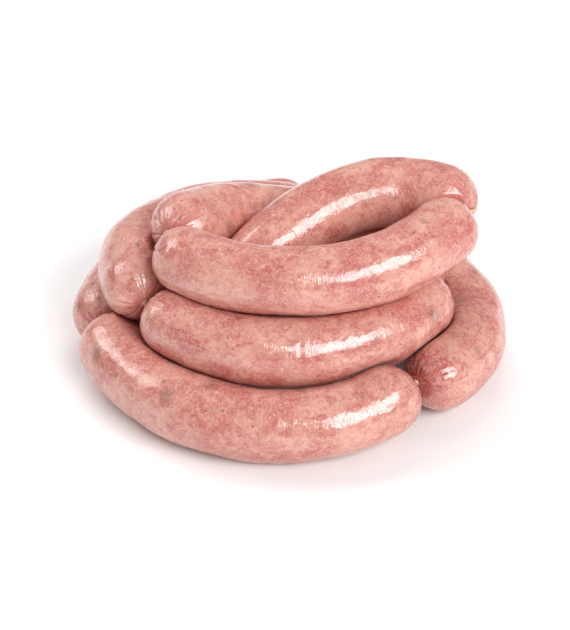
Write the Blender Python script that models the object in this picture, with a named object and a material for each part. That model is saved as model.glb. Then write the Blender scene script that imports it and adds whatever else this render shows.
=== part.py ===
import math

import bpy
import numpy as np
from mathutils import Vector

# A string of fresh sausages, twisted off into links and laid down as a climbing coil.
# Lengths are in millimetres up to the last step, angles in degrees.
MM = 0.001
SIDES = 24
RINGS = 21
LINE_STEPS = 96
CAP_LENGTH = 1.10
CAP_POWER = 2.2
TIP_RADIUS = 1.3
TOUCH_GAP = 0.60
TWIST_GAP = 0.35
TWIST_SIDES = 8
TWIST_RINGS = 9
TWIST_RADIUS = 1.05
TWIST_WAIST = 0.60
TWIST_TURNS = 0.5
TAIL_LENGTH = 9.0

# Each link in string order: middle of its line (x, y, z), heading there, total bend,
# hook (extra bend towards both ends), rise, arch (change of rise) and dip (extra
# change of rise towards both ends), length, girth radius at the middle, swell (girth
# gained from the first half to the last), and lift (how far the first and the last
# tip sit above the line).
LINKS = {
    "link_01": dict(mid=(-57.8, 86, 15.1), heading=229, bend=68, hook=2, rise=0, arch=0, dip=0,
                    length=158, girth=15.8, swell=0.02, lift=(0, 0)),
    "link_02": dict(mid=(-28, -50.5, 15.1), heading=341, bend=102, hook=0, rise=0, arch=8, dip=0,
                    length=174, girth=15.9, swell=0.00, lift=(0, 4)),
    "link_03": dict(mid=(80, 41, 14.9), heading=105, bend=108, hook=-28, rise=0, arch=2, dip=0,
                    length=162, girth=15.6, swell=0.00, lift=(4, 0)),
    "link_04": dict(mid=(-49, 69, 39.6), heading=228, bend=95, hook=32, rise=8, arch=-18, dip=0,
                    length=159, girth=15.9, swell=0.01, lift=(0, 0)),
    "link_05": dict(mid=(9, -29.6, 36.6), heading=10, bend=102, hook=-4, rise=-2, arch=1, dip=0,
                    length=156, girth=15.8, swell=0.01, lift=(0, 0)),
    "link_06": dict(mid=(2.6, 62.3, 43.7), heading=184, bend=123, hook=-11, rise=14, arch=12, dip=-1,
                    length=161, girth=16.1, swell=-0.01, lift=(0, 0)),
    "link_07": dict(mid=(15, -16.7, 64.2), heading=8, bend=93, hook=-2, rise=2, arch=6, dip=0,
                    length=156, girth=15.2, swell=0.01, lift=(0, 0)),
    "link_08": dict(mid=(9.2, 37.6, 61.5), heading=200, bend=55, hook=-71, rise=-20, arch=-57, dip=-22,
                    length=160, girth=15.9, swell=0.00, lift=(0, 0)),
}

MEAT = dict(color=(0.78, 0.40, 0.33), roughness=0.32)
CASING = dict(color=(0.84, 0.62, 0.48), roughness=0.35)


def clear_scene():
    for obj in list(bpy.data.objects):
        bpy.data.objects.remove(obj, do_unlink=True)


def make_collection(name):
    group = bpy.data.collections.new(name)
    bpy.context.scene.collection.children.link(group)
    return group


def make_material(name, color, roughness):
    mat = bpy.data.materials.new(name)
    mat.use_nodes = True
    shader = mat.node_tree.nodes["Principled BSDF"]
    shader.inputs["Base Color"].default_value = (color[0], color[1], color[2], 1.0)
    shader.inputs["Roughness"].default_value = roughness
    shader.inputs["Metallic"].default_value = 0.0
    return mat


def link_line(size):
    """Points along a link from tip to tip, and the tube radius at each of them."""
    u = np.linspace(-1.0, 1.0, LINE_STEPS)
    # The rounded ends run on straight: the bend is spread over the part between them.
    v = np.clip(u * size["length"] / (size["length"] - 2 * size["girth"]), -1.0, 1.0)
    turn = size["heading"] + size["bend"] * v / 2 + size["hook"] * (v * v - 1 / 3) / 2
    climb = size["rise"] + size["arch"] * v / 2 + size["dip"] * (v * v - 1 / 3) / 2
    turn = np.radians(turn)
    climb = np.radians(climb)
    steps = np.stack([np.cos(climb) * np.cos(turn), np.cos(climb) * np.sin(turn), np.sin(climb)], -1)
    step = size["length"] / (LINE_STEPS - 1)
    line = np.concatenate([np.zeros((1, 3)), np.cumsum((steps[1:] + steps[:-1]) / 2 * step, axis=0)])
    middle = (line[LINE_STEPS // 2] + line[LINE_STEPS // 2 - 1]) / 2
    x, y, z = size["mid"]
    line = line - middle + np.array([x, y, z])
    girth = size["girth"] * (1 + size["swell"] * u)
    from_end = (1 - np.abs(u)) * size["length"] / 2
    inward = 1 - np.clip(from_end / (CAP_LENGTH * size["girth"]), 0, 1)
    lifts = np.where(u < 0, size["lift"][0], size["lift"][1])
    line[:, 2] = line[:, 2] + lifts * inward ** 2
    shape = np.sqrt(np.clip(1 - inward ** CAP_POWER, 0, 1))
    radius = np.maximum(girth * shape, TIP_RADIUS)
    return line, radius, steps


def closest(points, line, radius):
    """Distance from each point to a link's line, less the link's radius there."""
    start = line[:-1]
    run = line[1:] - start
    to = points[:, None, :] - start[None]
    t = np.clip((to * run).sum(-1) / (run * run).sum(-1), 0, 1)
    away = np.linalg.norm(to - t[..., None] * run, axis=-1)
    tube = radius[:-1] + t * (radius[1:] - radius[:-1])
    return (away - tube).min(axis=1)


def pressed(centres, points, own_radius, others):
    """Draws the points in towards their ring centres until they clear every other link."""
    low = np.full(len(points), 0.35)
    high = np.ones(len(points))
    for _ in range(16):
        middle = (low + high) / 2
        trial = centres + middle[:, None] * (points - centres)
        room = np.full(len(points), 1e9)
        for line, radius in others:
            room = np.minimum(room, closest(trial, line, radius) + (1 - middle) * own_radius)
        clear = room >= TOUCH_GAP
        low = np.where(clear, middle, low)
        high = np.where(clear, high, middle)
    full = np.full(len(points), 1e9)
    for line, radius in others:
        full = np.minimum(full, closest(points, line, radius))
    keep = np.where(full >= TOUCH_GAP, 1.0, low)
    return centres + keep[:, None] * (points - centres)


def ring_faces(rings, sides):
    """Faces of a closed skin: a tip, the rings, a tip."""
    faces = []
    last = rings * sides
    for k in range(sides):
        after = (k + 1) % sides
        faces.append((last, k, after))
        base = (rings - 1) * sides
        faces.append((last + 1, base + after, base + k))
    for r in range(rings - 1):
        for k in range(sides):
            after = (k + 1) % sides
            a = r * sides + k
            b = r * sides + after
            c = (r + 1) * sides + after
            d = (r + 1) * sides + k
            faces.append((a, c, b))
            faces.append((a, d, c))
    return faces


def skin_object(name, points, faces, group, mat):
    mesh = bpy.data.meshes.new(name)
    mesh.from_pydata([Vector(p) * MM for p in points.tolist()], [], faces)
    mesh.update()
    for face in mesh.polygons:
        face.use_smooth = True
    mesh.materials.append(mat)
    obj = bpy.data.objects.new(name, mesh)
    group.objects.link(obj)
    return obj


def cross_axes(steps):
    """Side and top directions square to each step of a line."""
    side = np.cross(steps, np.array([0.0, 0.0, 1.0]))
    side = side / np.linalg.norm(side, axis=1)[:, None]
    top = np.cross(side, steps)
    return side, top


def make_link(name, size, others, group, mat):
    line, radius, steps = link_line(size)
    # Rings stand closer together over the rounded ends.
    t = np.linspace(0, 1, RINGS)
    spread = t - 0.115 * np.sin(2 * np.pi * t) * (1 - 0.2 * np.cos(2 * np.pi * t))
    place = spread * (LINE_STEPS - 1)
    at = np.arange(LINE_STEPS)
    side, top = cross_axes(steps)
    centre = np.stack([np.interp(place, at, line[:, k]) for k in range(3)], -1)
    side = np.stack([np.interp(place, at, side[:, k]) for k in range(3)], -1)
    top = np.stack([np.interp(place, at, top[:, k]) for k in range(3)], -1)
    size_at = np.interp(place, at, radius)
    angle = np.arange(SIDES) * 2 * np.pi / SIDES
    spoke = np.cos(angle)[None, :, None] * side[:, None] + np.sin(angle)[None, :, None] * top[:, None]
    centres = np.repeat(centre, SIDES, axis=0)
    own = np.repeat(size_at, SIDES)
    points = centres + own[:, None] * spoke.reshape(-1, 3)
    points = pressed(centres, points, own, others)
    points[:, 2] = np.maximum(points[:, 2], 0.0)
    first = centre[0] - steps[0] * 0.5
    final = centre[-1] + steps[-1] * 0.5
    points = np.concatenate([points, first[None], final[None]])
    return skin_object(name, points, ring_faces(RINGS, SIDES), group, mat)


def make_twist(name, start, start_way, end, end_way, group, mat):
    """A short wrung strand of casing between two tips, narrowest at its middle."""
    first = start + start_way * (0.5 + TWIST_GAP)
    last = end - end_way * (0.5 + TWIST_GAP)
    reach = np.linalg.norm(last - first) / 3
    handles = [first, first + start_way * reach, last - end_way * reach, last]
    t = np.linspace(0, 1, TWIST_RINGS)[:, None]
    line = ((1 - t) ** 3 * handles[0] + 3 * (1 - t) ** 2 * t * handles[1]
            + 3 * (1 - t) * t ** 2 * handles[2] + t ** 3 * handles[3])
    steps = np.gradient(line, axis=0)
    steps = steps / np.linalg.norm(steps, axis=1)[:, None]
    around = np.cross(start_way, last - first)
    if np.linalg.norm(around) < 0.5:
        around = np.cross(start_way, [0.0, 0.0, 1.0])
    side = around - (steps @ around)[:, None] * steps
    side = side / np.linalg.norm(side, axis=1)[:, None]
    top = np.cross(side, steps)
    thick = TWIST_WAIST + (TWIST_RADIUS - TWIST_WAIST) * (2 * t[:, 0] - 1) ** 2
    thick[0] = TWIST_RADIUS * 0.8
    thick[-1] = TWIST_RADIUS * 0.8
    angle = np.arange(TWIST_SIDES) * 2 * np.pi / TWIST_SIDES
    turned = angle[None, :] + 2 * np.pi * TWIST_TURNS * t
    ridge = 1 + 0.12 * np.cos(2 * angle)[None, :]
    reach = (thick[:, None] * ridge)[..., None]
    ring = reach * (np.cos(turned)[..., None] * side[:, None] + np.sin(turned)[..., None] * top[:, None])
    points = (line[:, None] + ring).reshape(-1, 3)
    points = np.concatenate([points, first[None], last[None]])
    return skin_object(name, points, ring_faces(TWIST_RINGS, TWIST_SIDES), group, mat)


def centre_on_origin(group):
    """Moves the whole heap sideways so that its box stands over the origin."""
    corners = np.array([corner for obj in group.objects for corner in obj.bound_box])
    middle = (corners.min(axis=0) + corners.max(axis=0)) / 2
    for obj in group.objects:
        for vertex in obj.data.vertices:
            vertex.co.x = vertex.co.x - middle[0]
            vertex.co.y = vertex.co.y - middle[1]


def make_string():
    clear_scene()
    group = make_collection("sausage_string")
    names = list(LINKS)
    lines = {name: link_line(LINKS[name]) for name in names}
    for name in names:
        others = [lines[other][:2] for other in names if other != name]
        mat = make_material("meat_" + name, MEAT["color"], MEAT["roughness"])
        make_link(name, LINKS[name], others, group, mat)
    for number, name in enumerate(names[:-1]):
        after = names[number + 1]
        line, _, steps = lines[name]
        next_line, _, next_steps = lines[after]
        label = "twist_%02d" % (number + 1)
        mat = make_material("casing_" + label, CASING["color"], CASING["roughness"])
        make_twist(label, line[-1], steps[-1], next_line[0], next_steps[0], group, mat)
    line, _, steps = lines[names[0]]
    mat = make_material("casing_tail_first", CASING["color"], CASING["roughness"])
    away = -steps[0]
    tail = line[0] + away * TAIL_LENGTH
    make_twist("tail_first", line[0], away, tail, away, group, mat)
    line, _, steps = lines[names[-1]]
    mat = make_material("casing_tail_last", CASING["color"], CASING["roughness"])
    tail = line[-1] + steps[-1] * TAIL_LENGTH
    make_twist("tail_last", line[-1], steps[-1], tail, steps[-1], group, mat)
    centre_on_origin(group)


make_string()
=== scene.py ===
import math

import bpy
import numpy as np
from mathutils import Matrix, Vector


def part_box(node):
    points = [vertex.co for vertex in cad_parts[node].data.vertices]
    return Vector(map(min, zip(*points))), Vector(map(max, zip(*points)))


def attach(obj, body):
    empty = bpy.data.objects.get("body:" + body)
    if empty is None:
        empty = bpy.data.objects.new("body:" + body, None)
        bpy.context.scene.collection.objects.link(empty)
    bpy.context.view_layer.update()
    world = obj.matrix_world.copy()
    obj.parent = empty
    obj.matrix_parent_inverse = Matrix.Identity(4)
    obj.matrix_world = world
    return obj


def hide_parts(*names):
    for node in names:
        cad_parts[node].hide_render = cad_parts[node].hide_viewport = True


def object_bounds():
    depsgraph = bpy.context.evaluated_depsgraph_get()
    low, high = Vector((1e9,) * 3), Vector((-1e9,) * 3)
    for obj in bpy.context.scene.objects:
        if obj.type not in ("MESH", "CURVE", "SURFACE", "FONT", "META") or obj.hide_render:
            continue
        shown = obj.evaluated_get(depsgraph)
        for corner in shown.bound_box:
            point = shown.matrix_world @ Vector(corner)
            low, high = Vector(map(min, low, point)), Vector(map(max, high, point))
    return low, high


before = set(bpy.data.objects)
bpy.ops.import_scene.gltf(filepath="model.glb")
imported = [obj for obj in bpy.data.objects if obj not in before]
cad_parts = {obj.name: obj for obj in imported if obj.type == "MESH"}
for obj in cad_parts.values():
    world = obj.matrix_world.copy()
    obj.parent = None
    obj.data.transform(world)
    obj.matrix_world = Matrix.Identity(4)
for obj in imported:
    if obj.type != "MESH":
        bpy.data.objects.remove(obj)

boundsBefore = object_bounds()
mm = 0.001
print("frame loaded:", len(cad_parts), "nodes")

# What can be changed about the skins of the links.
skin = {
    "stations": 288,         # rings of points along a link
    "sides": 176,            # points round a ring
    "capLength": 1.10,       # rounded end, in girths
    "capPower": 2.2,         # how blunt the rounded end is
    "lumpDepth": 0.34,       # mm, broad unevenness of the filling
    "knobDepth": 0.07,       # mm, coarse mince showing through
    "grainDepth": 0.012,     # mm, fine mince
    "pleatDepth": 1.60,      # mm, gathers round the tied ends
    "pleatReach": 9.0,       # mm, how far the gathers run
    "foldDepth": 0.30,       # mm, shallow folds across a link
    "foldWidth": 0.85,       # mm, half the width of a fold
    "softness": 0.30,        # mm, roundness of the edge where two links press
    "gap": 0.12,             # mm, room left between two pressed skins
    "tipHole": 0.9,          # mm, walk from the tip to the first ring
}

# How the middle lines are read off the CAD bodies.
reading = {
    "slices": 17,            # cuts along a link
    "points": 200,           # points along the finished middle line
    "halfSlice": 7.0,        # mm, half the width of a cut
    "reach": 1.6,            # girths, what lies further off is left out
    "pressedIn": 0.25,       # mm, points this far inside the circle are pressed in
    "passes": 3,             # times the line is found again from its own cuts
    "circlePasses": 8,       # times a circle is fitted again without the pressed points
    "endRoom": 1.15,         # girths kept free of cuts at both ends
    "smoothing": 41,         # points under the smoothing curve
}

# What can be changed about the twists of casing.
twist = {
    "rings": 72,
    "sides": 28,
    "waist": 0.50,           # mm, radius at the middle
    "flare": 1.35,           # mm, radius where it leaves a link
    "turns": 2.6,            # how often the ridges go round
    "ridge": 0.20,           # depth of the wrung ridges, share of radius
    "flareRun": 0.16,        # share of the strand over which it narrows
    "sunk": 0.5,             # mm, how far its ends sit in the links
    "loose": 8.6,            # mm, length of a loose end
}


# A field of random lumps on a ring-by-side grid: white noise blurred to a given size,
# seamless round the ring.
def lumpField(rows, columns, rowStep, columnStep, size, random):
    noise = random.standard_normal((rows, columns))
    rowWave = np.fft.fftfreq(rows, rowStep)[:, None]
    columnWave = np.fft.fftfreq(columns, columnStep)[None, :]
    wave = np.sqrt(rowWave ** 2 + columnWave ** 2) * size
    kept = np.fft.fft2(noise) * np.exp(-(wave * 1.6) ** 2) * (wave > 0.0)
    field = np.fft.ifft2(kept).real
    return field / field.std()


# The welded points and edges of a CAD body, in millimetres.
def readBody(name):
    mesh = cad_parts[name].data
    points = np.empty(len(mesh.vertices) * 3, np.float32)
    mesh.vertices.foreach_get("co", points)
    points = points.reshape(-1, 3).astype(float) / mm
    _, first, owner = np.unique(np.round(points * 1000).astype(np.int64), axis=0,
                                return_index=True, return_inverse=True)
    edges = np.empty(len(mesh.edges) * 2, np.int32)
    mesh.edges.foreach_get("vertices", edges)
    edges = np.unique(np.sort(owner.ravel()[edges.reshape(-1, 2)], axis=1), axis=0)
    return points[first], edges[edges[:, 0] != edges[:, 1]]


# Distance over the body's surface, along its edges, from one point to all the others.
def walkFrom(start, points, edges):
    length = np.linalg.norm(points[edges[:, 0]] - points[edges[:, 1]], axis=1)
    walk = np.full(len(points), 1e9)
    walk[start] = 0.0
    while True:
        nearer = walk.copy()
        np.minimum.at(nearer, edges[:, 0], walk[edges[:, 1]] + length)
        np.minimum.at(nearer, edges[:, 1], walk[edges[:, 0]] + length)
        if np.array_equal(nearer, walk):
            return walk
        walk = nearer


# A smooth curve through points: each span is the cubic whose ends follow the neighbours on both sides.
def smoothCurve(knots, count):
    padded = np.concatenate([2 * knots[:1] - knots[1:2], knots, 2 * knots[-1:] - knots[-2:-1]])
    place = np.linspace(0, len(knots) - 1.000001, count)
    span = place.astype(int)
    t = (place - span)[:, None]
    a, b, c, d = (padded[span + k] for k in range(4))
    square, cube = 2 * a - 5 * b + 4 * c - d, 3 * b - a - 3 * c + d
    return 0.5 * (2 * b + (c - a) * t + square * t ** 2 + cube * t ** 3)


# The same line with its points an even walk apart.
def evenly(line, count):
    along = np.concatenate([[0], np.cumsum(np.linalg.norm(np.diff(line, axis=0), axis=1))])
    at = np.linspace(0, along[-1], count)
    return np.stack([np.interp(at, along, line[:, k]) for k in range(line.shape[1])], -1)


def unit(v):
    return v / np.linalg.norm(v, axis=-1, keepdims=True)


# The direction of travel at each point of a line.
def wayAlong(line):
    return unit(np.gradient(line, axis=0))


# The middle line and girth of a link, read off its CAD body: circles fitted to slices square to the line,
# leaving out the parts that are pressed in.
def readLink(name):
    points, edges = readBody(name)
    tips = np.argsort(np.bincount(edges.ravel(), minlength=len(points)))[-2:]
    walks = [walkFrom(tip, points, edges) for tip in tips]
    share = walks[0] / (walks[0] + walks[1])
    slices, count = reading["slices"], reading["points"]
    rough = [points[tips[0]]]
    for k in range(slices):
        near = np.abs(share - (k + 1.5) / (slices + 2)) < 0.045
        rough.append(points[near].mean(axis=0))
    rough.append(points[tips[1]])
    line = evenly(smoothCurve(np.array(rough), 2 * count), count)
    length = np.linalg.norm(np.diff(line, axis=0), axis=1).sum()
    girth = 16.0
    for _ in range(reading["passes"]):
        way = wayAlong(line)
        centres, radii = [line[0]], []
        room = reading["endRoom"] * girth / length
        for at in np.linspace(room, 1 - room, slices):
            row = int(at * (count - 1))
            away = points - line[row]
            inSlice = np.abs(away @ way[row]) < reading["halfSlice"]
            inSlice &= np.linalg.norm(away, axis=1) < reading["reach"] * girth
            side = unit(np.cross(way[row], [0, 0, 1]))
            top = np.cross(side, way[row])
            flat = np.stack([away[inSlice] @ side, away[inSlice] @ top], -1)
            weight = np.ones(len(flat))
            for _ in range(reading["circlePasses"]):
                table = np.column_stack([2 * flat, np.ones(len(flat))]) * weight[:, None]
                x, y, c = np.linalg.lstsq(table, (flat ** 2).sum(1) * weight, rcond=None)[0]
                radius = math.sqrt(max(c + x * x + y * y, 1))
                inward = radius - np.linalg.norm(flat - [x, y], axis=1)
                weight = np.where(inward > reading["pressedIn"], 0.02, 1.0)
            centres.append(line[row] + x * side + y * top)
            radii.append(radius)
        centres.append(line[-1])
        line = evenly(smoothCurve(np.array(centres), 2 * count), count)
        girth = float(np.median(radii))
        length = np.linalg.norm(np.diff(line, axis=0), axis=1).sum()
    wide = reading["smoothing"]
    half = wide // 2
    kernel = np.exp(-np.linspace(-2, 2, wide) ** 2)
    kernel = kernel / kernel.sum()
    for k in range(3):
        before = 2 * line[0, k] - line[half:0:-1, k]
        after = 2 * line[-1, k] - line[-2:-2 - half:-1, k]
        line[:, k] = np.convolve(np.concatenate([before, line[:, k], after]), kernel, mode="valid")
    room = reading["endRoom"] * girth / length
    spread = np.interp(np.linspace(0, 1, count), np.linspace(room, 1 - room, slices), radii)
    return {"line": line, "girth": spread, "length": length}


# Radius of a link at distance s from its first tip: the girth, times a blunt rounded end on both sides,
# the root of one less the share left to the end raised to the cap's power.
def endShape(s, length, girth):
    fromEnd = np.minimum(s, length - s)
    left = 1 - np.clip(fromEnd / (skin["capLength"] * girth), 0, 1)
    return np.sqrt(np.clip(1 - left ** skin["capPower"], 0, 1))


# A link's radius at evenly spaced places from tip to tip.
def tubeRadius(link):
    s = np.linspace(0, link["length"], reading["points"])
    return link["girth"] * endShape(s, link["length"], link["girth"].mean())


# How far each point is from a link's line, less the link's radius there.
def roomTo(points, link):
    line = link["line"][::4]
    radius = tubeRadius(link)[::4]
    start, run = line[:-1], line[1:] - line[:-1]
    lengths = (run * run).sum(1)
    best = np.full(len(points), 1e9)
    batch = 8192
    for k in range(0, len(points), batch):
        to = points[k:k + batch, None, :] - start[None]
        t = np.clip((to * run).sum(-1) / lengths, 0, 1)
        away = np.sqrt(((to - t[..., None] * run) ** 2).sum(-1))
        away = away - (radius[:-1] + t * (radius[1:] - radius[:-1]))
        best[k:k + batch] = away.min(axis=1)
    return best


# The four-sided faces between neighbouring rings.
def gridFaces(rows, columns):
    r, c = np.meshgrid(np.arange(rows - 1), np.arange(columns), indexing="ij")
    here, beyond = r * columns, (r + 1) * columns
    after = (c + 1) % columns
    return np.stack([here + c, beyond + c, beyond + after, here + after], -1).reshape(-1, 4)


# Builds a closed skin from rings of points and its two tip points, with values kept on the points.
def closedSkin(name, rings, tips, values, material):
    rows, columns = rings.shape[:2]
    points = np.concatenate([rings.reshape(-1, 3), tips])
    quads = gridFaces(rows, columns)
    around = np.arange(columns)
    after = (around + 1) % columns
    base = (rows - 1) * columns
    firstFan = np.stack([np.full(columns, rows * columns), around, after], -1)
    lastFan = np.stack([np.full(columns, rows * columns + 1), base + after, base + around], -1)
    corners = np.concatenate([quads.ravel(), firstFan.ravel(), lastFan.ravel()])
    totals = np.concatenate([np.full(len(quads), 4), np.full(2 * columns, 3)])
    mesh = bpy.data.meshes.new(name)
    mesh.vertices.add(len(points))
    mesh.vertices.foreach_set("co", (points * mm).astype(np.float32).ravel())
    mesh.loops.add(len(corners))
    mesh.loops.foreach_set("vertex_index", corners.astype(np.int32))
    mesh.polygons.add(len(totals))
    mesh.polygons.foreach_set("loop_start", np.concatenate([[0], np.cumsum(totals)[:-1]]).astype(np.int32))
    mesh.polygons.foreach_set("loop_total", totals.astype(np.int32))
    mesh.update(calc_edges=True)
    mesh.polygons.foreach_set("use_smooth", np.ones(len(totals), bool))
    for label, value in values.items():
        flat = value.reshape(rows * columns, -1)
        ends = np.stack([flat[:columns].mean(axis=0), flat[-columns:].mean(axis=0)])
        flat = np.concatenate([flat, ends]).astype(np.float32)
        kind, field = ("FLOAT_VECTOR", "vector") if flat.shape[1] == 3 else ("FLOAT", "value")
        mesh.attributes.new(label, kind, "POINT").data.foreach_set(field, flat.ravel())
    mesh.materials.append(material)
    mesh.validate()
    piece = bpy.data.objects.new(name, mesh)
    bpy.context.scene.collection.objects.link(piece)
    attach(piece, "root")
    return piece


# Short ways to add shader nodes to a tree and join them up.
class Nodes:
    def __init__(self, tree):
        self.tree = tree

    def add(self, kind, inputs=None, **settings):
        node = self.tree.nodes.new("ShaderNode" + kind)
        for label, value in settings.items():
            setattr(node, label, value)
        for key, value in (inputs or {}).items():
            self.feed(node.inputs[key], value)
        return node

    def feed(self, socket, value):
        if isinstance(value, bpy.types.NodeSocket):
            self.tree.links.new(value, socket)
        else:
            socket.default_value = value

    def maths(self, operation, a, b=None, c=None, clamp=False):
        node = self.add("Math", operation=operation, use_clamp=clamp)
        for socket, value in zip(node.inputs, (a, b, c)):
            if value is not None:
                self.feed(socket, value)
        return node.outputs[0]

    def ramp(self, value, low, high, toLow=0.0, toHigh=1.0):
        node = self.add("MapRange", {"Value": value, "From Min": low, "From Max": high,
                                     "To Min": toLow, "To Max": toHigh}, interpolation_type="SMOOTHSTEP")
        return node.outputs["Result"]

    def mix(self, share, a, b):
        node = self.add("Mix", data_type="RGBA", clamp_factor=True)
        self.feed(node.inputs[0], share)
        self.feed(node.inputs[6], a)
        self.feed(node.inputs[7], b)
        return node.outputs[2]

    def stretched(self, vector, scale):
        return self.add("VectorMath", {0: vector, 1: scale}, operation="MULTIPLY").outputs[0]

    def noise(self, vector, scale, detail=3.0, rough=0.55, distortion=0.0):
        return self.add("TexNoise", {"Vector": vector, "Scale": scale, "Detail": detail, "Roughness": rough,
                                     "Distortion": distortion}).outputs["Fac"]


# A new node group with its sockets: c for a colour, f for a value, v for a place.
def makeGroup(name, inputs, outputs):
    tree = bpy.data.node_groups.new(name, "ShaderNodeTree")
    kinds = {"c": "NodeSocketColor", "f": "NodeSocketFloat", "v": "NodeSocketVector"}
    for label, kind, value in inputs:
        socket = tree.interface.new_socket(label, in_out="INPUT", socket_type=kinds[kind])
        if value is not None:
            socket.default_value = value
    for label, kind in outputs:
        tree.interface.new_socket(label, in_out="OUTPUT", socket_type=kinds[kind])
    nodes = Nodes(tree)
    enter = tree.nodes.new("NodeGroupInput")
    leave = tree.nodes.new("NodeGroupOutput")
    return nodes, enter.outputs, leave.inputs


# Minced meat under the casing: salmon meat, paler fat, redder lean, seen at three sizes.
def minceGroup():
    n, enter, leave = makeGroup("mince", [
        ("Place", "v", None), ("Meat", "c", (0.78, 0.36, 0.30, 1)), ("Fat", "c", (0.90, 0.56, 0.45, 1)),
        ("Lean", "c", (0.58, 0.15, 0.13, 1)), ("Leanness", "f", 0.5),
        ("Fattiness", "f", 0.5)], [("Colour", "c")])
    place = enter["Place"]
    broad = n.noise(place, 0.07, 2.0, 0.5, 0.4)
    patch = n.noise(n.stretched(place, (0.13, 0.17, 0.17)), 1.0, 3.0, 0.55, 0.8)
    lean = n.ramp(patch, 0.46, 0.74)
    base = n.mix(n.maths("MULTIPLY", n.ramp(broad, 0.36, 0.64), 0.62), enter["Meat"], enter["Fat"])
    lean = n.maths("MULTIPLY", lean, enter["Leanness"])
    lean = n.maths("ADD", lean, n.ramp(enter["Leanness"], 0.85, 1.5, 0.0, 0.75), clamp=True)
    base = n.mix(lean, base, enter["Lean"])
    crumb = n.noise(place, 0.26, 4.0, 0.62, 1.1)
    base = n.mix(n.maths("MULTIPLY", n.ramp(crumb, 0.48, 0.70), enter["Fattiness"]), base, enter["Fat"])
    base = n.mix(n.maths("MULTIPLY", n.ramp(crumb, 0.50, 0.34), 0.42), base, enter["Lean"])
    grain = n.noise(place, 1.05, 3.0, 0.65, 0.6)
    base = n.mix(n.maths("MULTIPLY", n.ramp(grain, 0.54, 0.66), 0.66), base, enter["Fat"])
    base = n.mix(n.maths("MULTIPLY", n.ramp(grain, 0.46, 0.34), 0.28), base, enter["Lean"])
    n.feed(leave["Colour"], base)
    return n.tree


# Chopped herbs and pepper: small spots of uneven size, thrown over the surface.
def herbGroup():
    n, enter, leave = makeGroup("herbs", [
        ("Place", "v", None), ("Spacing", "f", 7.0), ("Size", "f", 0.9), ("Share", "f", 0.4),
        ("Wobble", "f", 4.0)], [("Spots", "f")])
    place = enter["Place"]
    scale = n.maths("DIVIDE", 1.0, enter["Spacing"])
    wobble = n.add("TexNoise", {"Vector": place, "Scale": 0.55, "Detail": 3.0})
    shifted = n.add("VectorMath", {0: wobble.outputs["Color"], 1: (0.5, 0.5, 0.5)}, operation="SUBTRACT")
    shifted = n.add("VectorMath", {0: shifted.outputs[0], "Scale": enter["Wobble"]}, operation="SCALE").outputs[0]
    bent = n.add("VectorMath", {0: shifted, 1: place}, operation="ADD").outputs[0]
    cell = n.add("TexVoronoi", {"Vector": bent, "Scale": scale, "Randomness": 1.0})
    tint = n.add("SeparateColor", {"Color": cell.outputs["Color"]})
    radius = n.maths("MULTIPLY", enter["Size"], scale)
    radius = n.maths("MULTIPLY", radius, n.maths("ADD", tint.outputs[0], 0.35))
    inside = n.ramp(n.maths("DIVIDE", cell.outputs["Distance"], radius), 1.15, 0.25)
    chosen = n.maths("LESS_THAN", tint.outputs[1], enter["Share"])
    n.feed(leave["Spots"], n.maths("MULTIPLY", inside, chosen))
    return n.tree


# Fibres of the casing: fine pale threads round the link that cross at a slant.
def fibreGroup():
    n, enter, leave = makeGroup("fibres", [("Place", "v", None), ("Fineness", "f", 1.0)], [("Threads", "f")])
    place = enter["Place"]
    threads = []
    for slant in (1.25, 1.95):
        turned = n.add("VectorRotate", {"Vector": place, "Angle": slant}, rotation_type="Z_AXIS").outputs[0]
        long = n.stretched(turned, (0.22, 2.1, 2.1))
        fine = n.noise(long, enter["Fineness"], 3.0, 0.6, 0.25)
        threads.append(n.ramp(fine, 0.55, 0.74))
    n.feed(leave["Threads"], n.maths("MAXIMUM", threads[0], threads[1]))
    return n.tree


# Relief of the casing: fine wrinkles across the link, mince pressing through and small pores.
def reliefGroup():
    n, enter, leave = makeGroup("skinRelief", [
        ("Place", "v", None), ("Wrinkles", "f", 1.0), ("Mince", "f", 1.0)], [("Height", "f"), ("Gloss", "f")])
    place = enter["Place"]
    across = n.noise(n.stretched(place, (1.35, 0.14, 0.14)), 1.0, 2.0, 0.55, 0.8)
    where = n.ramp(n.noise(place, 0.11, 2.0), 0.36, 0.60, 0.25, 1.0)
    wrinkles = n.maths("MULTIPLY", n.maths("MULTIPLY", across, where), enter["Wrinkles"])
    crumb = n.maths("MULTIPLY", n.noise(place, 0.30, 2.0, 0.5, 0.6), enter["Mince"])
    pores = n.maths("MULTIPLY", n.noise(place, 2.6, 1.0, 0.5), 0.05)
    n.feed(leave["Height"], n.maths("ADD", n.maths("ADD", wrinkles, crumb), pores))
    n.feed(leave["Gloss"], n.ramp(n.noise(place, 0.34, 4.0, 0.65, 0.7), 0.38, 0.66))
    return n.tree


groups = {"mince": minceGroup(), "herbs": herbGroup(), "fibres": fibreGroup(), "relief": reliefGroup()}


# Places a node group in a material and gives back its outputs.
def useGroup(nodes, key, inputs):
    node = nodes.tree.nodes.new("ShaderNodeGroup")
    node.node_tree = groups[key]
    for label, value in inputs.items():
        nodes.feed(node.inputs[label], value)
    return node.outputs


# What can be changed about the look of the meat.
meatLook = {
    "meat": (0.540, 0.180, 0.150, 1),
    "fat": (0.750, 0.420, 0.330, 1),
    "lean": (0.420, 0.064, 0.064, 1),
    "herb": (0.095, 0.085, 0.055, 1),
    "pepper": (0.035, 0.024, 0.020, 1),
    "thread": (0.740, 0.430, 0.350, 1),
    "roughness": (0.07, 0.19),
    "mirror": 1.78,          # index of refraction of the wet casing
    "subsurface": 0.06,
}


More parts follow.
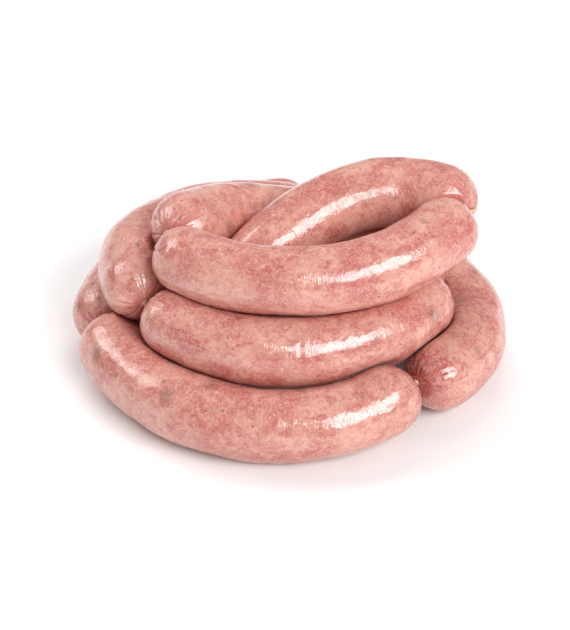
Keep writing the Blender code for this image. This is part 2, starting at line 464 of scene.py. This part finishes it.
def meatMaterial():
    material = bpy.data.materials.new("moistSausage")
    material.use_nodes = True
    n = Nodes(material.node_tree)
    shader = n.tree.nodes["Principled BSDF"]
    place = n.add("Attribute", attribute_name="laidOut").outputs["Vector"]
    leanness = n.add("Attribute", attribute_name="leanness").outputs["Fac"]
    contactShade = n.add("Attribute", attribute_name="contactShade").outputs["Fac"]
    gather = n.add("Attribute", attribute_name="gather").outputs["Fac"]
    mince = useGroup(n, "mince", {"Place": place, "Meat": meatLook["meat"], "Fat": meatLook["fat"],
                                  "Lean": meatLook["lean"], "Leanness": leanness, "Fattiness": 0.60})
    threads = useGroup(n, "fibres", {"Place": place, "Fineness": 1.0})["Threads"]
    colour = n.mix(n.maths("MULTIPLY", threads, 0.50), mince["Colour"], meatLook["thread"])
    herbs = useGroup(n, "herbs", {"Place": place, "Spacing": 6.0, "Size": 1.10, "Share": 0.38})["Spots"]
    blur = useGroup(n, "herbs", {"Place": n.stretched(place, (1.0, 0.8, 0.9)), "Spacing": 14.0, "Size": 3.4,
                                 "Share": 0.40})["Spots"]
    pepper = useGroup(n, "herbs", {"Place": n.stretched(place, (0.9, 1.1, 1.0)), "Spacing": 1.9, "Size": 0.36,
                                   "Share": 0.40, "Wobble": 1.0})["Spots"]
    colour = n.mix(n.maths("MULTIPLY", blur, 0.38), colour, meatLook["herb"])
    colour = n.mix(n.maths("MULTIPLY", herbs, 0.62), colour, meatLook["herb"])
    colour = n.mix(n.maths("MULTIPLY", pepper, 0.85), colour, meatLook["pepper"])
    # painted shade: the colour is darkened toward the red lean wherever the link lies close to a neighbour,
    # standing in for the shade between links
    colour = n.mix(n.maths("MULTIPLY", contactShade, 0.35), colour, meatLook["lean"])
    colour = n.mix(n.maths("MULTIPLY", gather, 0.30), colour, meatLook["thread"])
    relief = useGroup(n, "relief", {"Place": place, "Wrinkles": 1.0, "Mince": 0.8})
    bump = n.add("Bump", {"Strength": 0.9, "Distance": 0.00022, "Height": relief["Height"]}).outputs[0]
    low, high = meatLook["roughness"]
    n.feed(shader.inputs["Base Color"], colour)
    n.feed(shader.inputs["Roughness"], n.ramp(relief["Gloss"], 0.0, 1.0, low, high))
    n.feed(shader.inputs["Normal"], bump)
    shader.inputs["IOR"].default_value = meatLook["mirror"]
    shader.inputs["Subsurface Weight"].default_value = meatLook["subsurface"]
    shader.inputs["Subsurface Radius"].default_value = (1.0, 0.35, 0.22)
    shader.inputs["Subsurface Scale"].default_value = 0.004
    return material


# What can be changed about the look of the wrung casing.
casingLook = {"light": (0.86, 0.62, 0.44, 1), "dark": (0.62, 0.30, 0.18, 1), "roughness": 0.36}


def casingMaterial():
    material = bpy.data.materials.new("wrungCasing")
    material.use_nodes = True
    n = Nodes(material.node_tree)
    shader = n.tree.nodes["Principled BSDF"]
    place = n.add("Attribute", attribute_name="laidOut").outputs["Vector"]
    threads = useGroup(n, "fibres", {"Place": place, "Fineness": 2.4})["Threads"]
    tone = n.noise(place, 1.4, 3.0, 0.6)
    colour = n.mix(n.ramp(tone, 0.35, 0.65), casingLook["dark"], casingLook["light"])
    colour = n.mix(n.maths("MULTIPLY", threads, 0.4), colour, casingLook["light"])
    bump = n.add("Bump", {"Strength": 0.5, "Distance": 0.0001, "Height": tone}).outputs[0]
    n.feed(shader.inputs["Base Color"], colour)
    n.feed(shader.inputs["Normal"], bump)
    shader.inputs["Roughness"].default_value = casingLook["roughness"]
    shader.inputs["Subsurface Weight"].default_value = 0.25
    shader.inputs["Subsurface Scale"].default_value = 0.002
    return material


meat = meatMaterial()
casing = casingMaterial()
print("materials made")

# How each link differs: seed, leanness of its filling, how much redder its first end is, gathers
# round each end, and folds across it (share of the length, turn round the link in degrees, depth share).
linkTraits = {
    "link_01": {"seed": 11, "leanness": 0.50, "gathers": (13, 15),
                "folds": [(0.55, 40, 0.6)]},
    "link_02": {"seed": 12, "leanness": 0.42, "gathers": (15, 14),
                "folds": [(0.30, 60, 0.6), (0.62, 110, 0.5)]},
    "link_03": {"seed": 13, "leanness": 0.62, "redStart": 0.75, "gathers": (16, 13),
                "folds": [(0.42, 70, 0.5)]},
    "link_04": {"seed": 14, "leanness": 0.45, "gathers": (13, 18),
                "folds": [(0.66, 80, 0.7), (0.48, 60, 0.8)]},
    "link_05": {"seed": 15, "leanness": 0.50, "gathers": (15, 13),
                "folds": [(0.47, 70, 0.8), (0.80, 60, 0.5)]},
    "link_06": {"seed": 16, "leanness": 0.48, "gathers": (14, 16),
                "folds": [(0.75, 70, 0.6)]},
    "link_07": {"seed": 17, "leanness": 0.46, "gathers": (16, 14),
                "folds": [(0.50, 65, 0.7), (0.86, 50, 0.5)]},
    "link_08": {"seed": 18, "leanness": 0.40, "gathers": (15, 14),
                "folds": [(0.26, 95, 1.0), (0.55, 80, 0.5)]},
}

links = {name: readLink(name) for name in linkTraits}
for name, link in links.items():
    girth = float(np.median(link["girth"]))
    print("read", name, "length", round(link["length"], 1), "girth", round(girth, 1))


# The skin of a link. Point at s, turn: line(s) + radius * (cos(turn) side + sin(turn) top), where the
# radius is the rounded tube's, plus lumps, less gathers at the tips, less folds, less what the
# neighbours press in.
def makeLink(name):
    link, traits = links[name], linkTraits[name]
    random = np.random.default_rng(traits["seed"])
    length = link["length"]
    known = np.linspace(0, length, reading["points"])
    fine = np.linspace(0, length, 4000)
    girth = np.interp(fine, known, link["girth"])
    profile = girth * endShape(fine, length, girth.mean())
    travel = np.concatenate([[0], np.cumsum(np.hypot(np.diff(fine), np.diff(profile)))])
    rows, columns = skin["stations"], skin["sides"]
    over = np.linspace(skin["tipHole"], travel[-1] - skin["tipHole"], rows)
    s = np.interp(over, travel, fine)
    radius = np.interp(over, travel, profile)
    line = np.stack([np.interp(s, known, link["line"][:, k]) for k in range(3)], -1)
    way = wayAlong(link["line"])
    way = unit(np.stack([np.interp(s, known, way[:, k]) for k in range(3)], -1))
    side = unit(np.cross(way, [0, 0, 1]))
    top = np.cross(side, way)
    turn = -np.arange(columns) * 2 * np.pi / columns
    spoke = np.cos(turn)[None, :, None] * side[:, None] + np.sin(turn)[None, :, None] * top[:, None]
    rowStep, columnStep = over[1] - over[0], 2 * np.pi * girth.mean() / columns
    fromTip = np.minimum(over, travel[-1] - over)[:, None]
    calm = np.clip(fromTip / 9.0, 0, 1)
    bulge = skin["lumpDepth"] * lumpField(rows, columns, rowStep, columnStep, 24, random) * calm
    bulge += skin["knobDepth"] * lumpField(rows, columns, rowStep, columnStep, 7, random) * calm
    bulge += skin["grainDepth"] * lumpField(rows, columns, rowStep, columnStep, 2.2, random) * calm
    first = (over < travel[-1] / 2)[:, None]
    waver = lumpField(rows, columns, rowStep, columnStep, 12, random) * 0.35
    gather = np.zeros((rows, columns))
    for atFirst, count in zip((first, ~first), traits["gathers"]):
        phase = random.uniform(0, 6.28, 3)
        wave = np.cos(count * turn + phase[0] + waver * 2)
        wave += 0.6 * np.cos((count - 5) * turn + phase[1] + waver)
        wave += 0.5 * np.cos((count + 8) * turn + phase[2] + waver * 2)
        gather += np.where(atFirst, np.clip(wave, -0.4, 2) / 2, 0)
    reach = np.exp(-fromTip / skin["pleatReach"]) * np.clip(fromTip / 2.0, 0, 1)
    bulge += -skin["pleatDepth"] * gather * reach
    for at, around, depth in traits["folds"]:
        bend = lumpField(rows, columns, rowStep, columnStep, 16, random) * 0.7
        across = (s[:, None] - at * length + bend * 1.2) / skin["foldWidth"]
        spread = np.cos(turn - math.radians(around))[None, :]
        bulge -= skin["foldDepth"] * depth * np.exp(-across ** 2) * np.clip(spread, 0, 1) ** 1.5
        bulge += 0.5 * skin["foldDepth"] * depth * np.exp(-(across / 3.2) ** 2) * np.clip(spread, 0, 1) ** 2
    free = np.maximum(radius[:, None] + bulge, 0.5)
    others = [other for key, other in links.items() if key != name]
    contactShade = np.zeros((rows, columns))
    for _ in range(2):
        points = line[:, None] + free[..., None] * spoke
        flat = points.reshape(-1, 3)
        room = np.full(len(flat), 1e9)
        for other in others:
            low, high = other["line"].min(0) - 24, other["line"].max(0) + 24
            near = ((flat > low) & (flat < high)).all(axis=1)
            if near.any():
                room[near] = np.minimum(room[near], roomTo(flat[near], other))
        room = room.reshape(rows, columns)
        soft = skin["softness"]
        push = 0.5 * soft * np.logaddexp(0, (skin["gap"] - room) / soft)
        push = np.where(room < 4, push, 0)
        # how near a neighbour is, kept only to paint shade between the links into the colour
        contactShade = np.maximum(contactShade, np.exp(-np.clip(room, 0, 9) / 1.6))
        free = np.maximum(free - push, 0.4)
    points = line[:, None] + free[..., None] * spoke
    points[..., 2] = np.maximum(points[..., 2], 0.0)
    tips = np.stack([link["line"][0], link["line"][-1]])
    laid = np.stack([np.broadcast_to(s[:, None], (rows, columns)) + 1000.0 * traits["seed"],
                     free * np.cos(turn) + 60.0, free * np.sin(turn) + 60.0], -1)
    lean = traits["leanness"] + 0.20 * lumpField(rows, columns, rowStep, columnStep, 30, random)
    lean += traits.get("redStart", 0) * np.exp(-(over[:, None] / 15.0) ** 2)
    values = {"laidOut": laid, "contactShade": contactShade, "gather": np.clip(gather, 0, 1) * reach,
              "leanness": np.clip(lean, 0, 1.5)}
    piece = closedSkin("skin_" + name, points, tips, values, meat)
    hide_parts(name)
    return piece


for name in linkTraits:
    makeLink(name)
print("links made")


# A wrung strand between two tips: a round section with two ridges that turn as they go, wide at both ends.
def makeTwist(name, start, startWay, end, endWay, loose, seed):
    random = np.random.default_rng(seed)
    rows, columns = twist["rings"], twist["sides"]
    reach = np.linalg.norm(end - start) / 3
    knots = [start, start + startWay * reach, end - endWay * reach, end]
    t = np.linspace(0, 1, rows)[:, None]
    line = ((1 - t) ** 3 * knots[0] + 3 * (1 - t) ** 2 * t * knots[1]
            + 3 * (1 - t) * t ** 2 * knots[2] + t ** 3 * knots[3])
    way = wayAlong(line)
    around = np.cross(startWay, unit(end - start))
    if np.linalg.norm(around) < 0.1:
        around = np.cross(startWay, [0, 0, 1])
    side = unit(around - (way @ around)[:, None] * way)
    top = np.cross(side, way)
    t = t[:, 0]
    flareEnd = np.exp(-(1 - t) / twist["flareRun"]) * (0.0 if loose else 1.0)
    radius = twist["waist"] + (twist["flare"] - twist["waist"]) * (np.exp(-t / twist["flareRun"]) + flareEnd)
    if loose:
        radius = radius * (1 - 0.55 * t ** 3)
    turn = -np.arange(columns) * 2 * np.pi / columns
    wring = turn[None, :] + 2 * np.pi * twist["turns"] * t[:, None]
    ridged = 1 + twist["ridge"] * np.cos(2 * wring) + 0.5 * twist["ridge"] * np.cos(5 * wring)
    ridged = ridged + 0.05 * lumpField(rows, columns, 0.15, 0.15, 1.0, random)
    out = (radius[:, None] * ridged)[..., None]
    spoke = np.cos(turn)[None, :, None] * side[:, None] + np.sin(turn)[None, :, None] * top[:, None]
    rings = line[:, None] + out * spoke
    laid = np.stack([np.broadcast_to((t * 3 * reach)[:, None], (rows, columns)) + 50.0 * seed,
                     np.cos(turn) * radius[:, None], np.sin(turn) * radius[:, None]], -1)
    piece = closedSkin("strand_" + name, rings, np.stack([line[0], line[-1]]), {"laidOut": laid}, casing)
    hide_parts(name)
    return piece


# Both tips of a link, each with the direction that leads out of it.
def ends(name):
    line = links[name]["line"]
    way = wayAlong(line)
    return [(line[0], -way[0]), (line[-1], way[-1])]


# The tip of one link and the tip of the next that lie closest together.
def nearestEnds(one, other):
    pairs = [(np.linalg.norm(a[0] - b[0]), a, b) for a in ends(one) for b in ends(other)]
    return min(pairs, key=lambda pair: pair[0])[1:]


linkNames = list(linkTraits)
for number, (one, other) in enumerate(zip(linkNames[:-1], linkNames[1:])):
    (start, startWay), (end, endWay) = nearestEnds(one, other)
    makeTwist("twist_%02d" % (number + 1), start - startWay * twist["sunk"], startWay,
              end - endWay * twist["sunk"], -endWay, False, 60 + number)
for name, one in (("tail_first", linkNames[0]), ("tail_last", linkNames[-1])):
    low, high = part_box(name)
    middle = np.array((low + high) / 2) / mm
    start, way = min(ends(one), key=lambda end: np.linalg.norm(end[0] - middle))
    makeTwist(name, start - way * twist["sunk"], way, start + way * twist["loose"], way, True, 70)
print("twists made")

# What can be changed about the stage: floor, light and camera. Each light box has the way to it,
# how far off it is, its sides, its power, and whether it shows in the wet skins.
stageLook = {
    "floor": (0.93, 0.93, 0.93, 1),
    "world": 0.39,
    "boxes": {
        "keyBox": ((0.52, -0.62, 0.60), 2.2, (1.65, 1.10), 45.0, True),
        "topBox": ((-0.25, 0.75, 0.75), 2.4, (2.4, 2.4), 38.0, False),
        "sideBox": ((-0.75, 0.28, 0.60), 2.2, (1.0, 1.0), 12.0, True),
    },
    "elevation": 35.2,                   # degrees the camera looks down
    "distance": 0.9026,                  # metres to the point it is aimed at
    "lens": 116.8,                       # mm
    "aim": (-0.0078, -0.1556, -0.0470),  # that point from the box's middle, in shares of its sides
    "lower": 0.0029,                     # metres that point is moved down the picture
}


# A pale floor, much wider than the heap.
def makeFloor():
    mesh = bpy.data.meshes.new("floor")
    half = 3.0
    corners = [(-half, -half, 0), (half, -half, 0), (half, half, 0), (-half, half, 0)]
    mesh.from_pydata(corners, [], [(0, 1, 2, 3)])
    material = bpy.data.materials.new("paleFloor")
    material.use_nodes = True
    shader = material.node_tree.nodes["Principled BSDF"]
    shader.inputs["Base Color"].default_value = stageLook["floor"]
    shader.inputs["Roughness"].default_value = 0.75
    shader.inputs["Specular IOR Level"].default_value = 0.2
    mesh.materials.append(material)
    floor = bpy.data.objects.new("floor", mesh)
    bpy.context.scene.collection.objects.link(floor)


# A soft light box that faces the heap.
def makeBox(name, way, distance, size, power, mirrored):
    light = bpy.data.lights.new(name, "AREA")
    light.shape = "RECTANGLE"
    light.size, light.size_y = size
    light.energy = power
    lamp = bpy.data.objects.new(name, light)
    bpy.context.scene.collection.objects.link(lamp)
    lamp.location = Vector(way).normalized() * distance + Vector((0, 0, 0.05))
    lamp.rotation_euler = Vector(way).to_track_quat("Z", "Y").to_euler()
    lamp.visible_glossy = mirrored


def makeStage():
    makeFloor()
    for name, (way, distance, size, power, mirrored) in stageLook["boxes"].items():
        makeBox(name, way, distance, size, power, mirrored)
    world = bpy.data.worlds.new("whiteRoom")
    world.use_nodes = True
    world.node_tree.nodes["Background"].inputs[0].default_value = (1, 1, 1, 1)
    world.node_tree.nodes["Background"].inputs[1].default_value = stageLook["world"]
    bpy.context.scene.world = world
    bpy.context.scene.view_settings.view_transform = "Standard"


# The camera stands in front of the heap and looks down on it, aimed at a point set from the heap's box.
def makeCamera():
    low, high = (np.array(corner) for corner in boundsBefore)
    centre = (low + high) / 2
    size = high - low
    tilt = math.radians(stageLook["elevation"])
    ahead = np.array([0, math.cos(tilt), -math.sin(tilt)])
    upward = np.array([0, math.sin(tilt), math.cos(tilt)])
    target = centre + size * stageLook["aim"] - upward * stageLook["lower"]
    place = target - ahead * stageLook["distance"]
    data = bpy.data.cameras.new("camera")
    data.lens = stageLook["lens"]
    data.sensor_width = 36
    camera = bpy.data.objects.new("camera", data)
    bpy.context.scene.collection.objects.link(camera)
    camera.matrix_world = Matrix(((1, upward[0], -ahead[0], place[0]), (0, upward[1], -ahead[1], place[1]),
                                  (0, upward[2], -ahead[2], place[2]), (0, 0, 0, 1)))
    bpy.context.scene.camera = camera


makeStage()
makeCamera()
print("stage made")
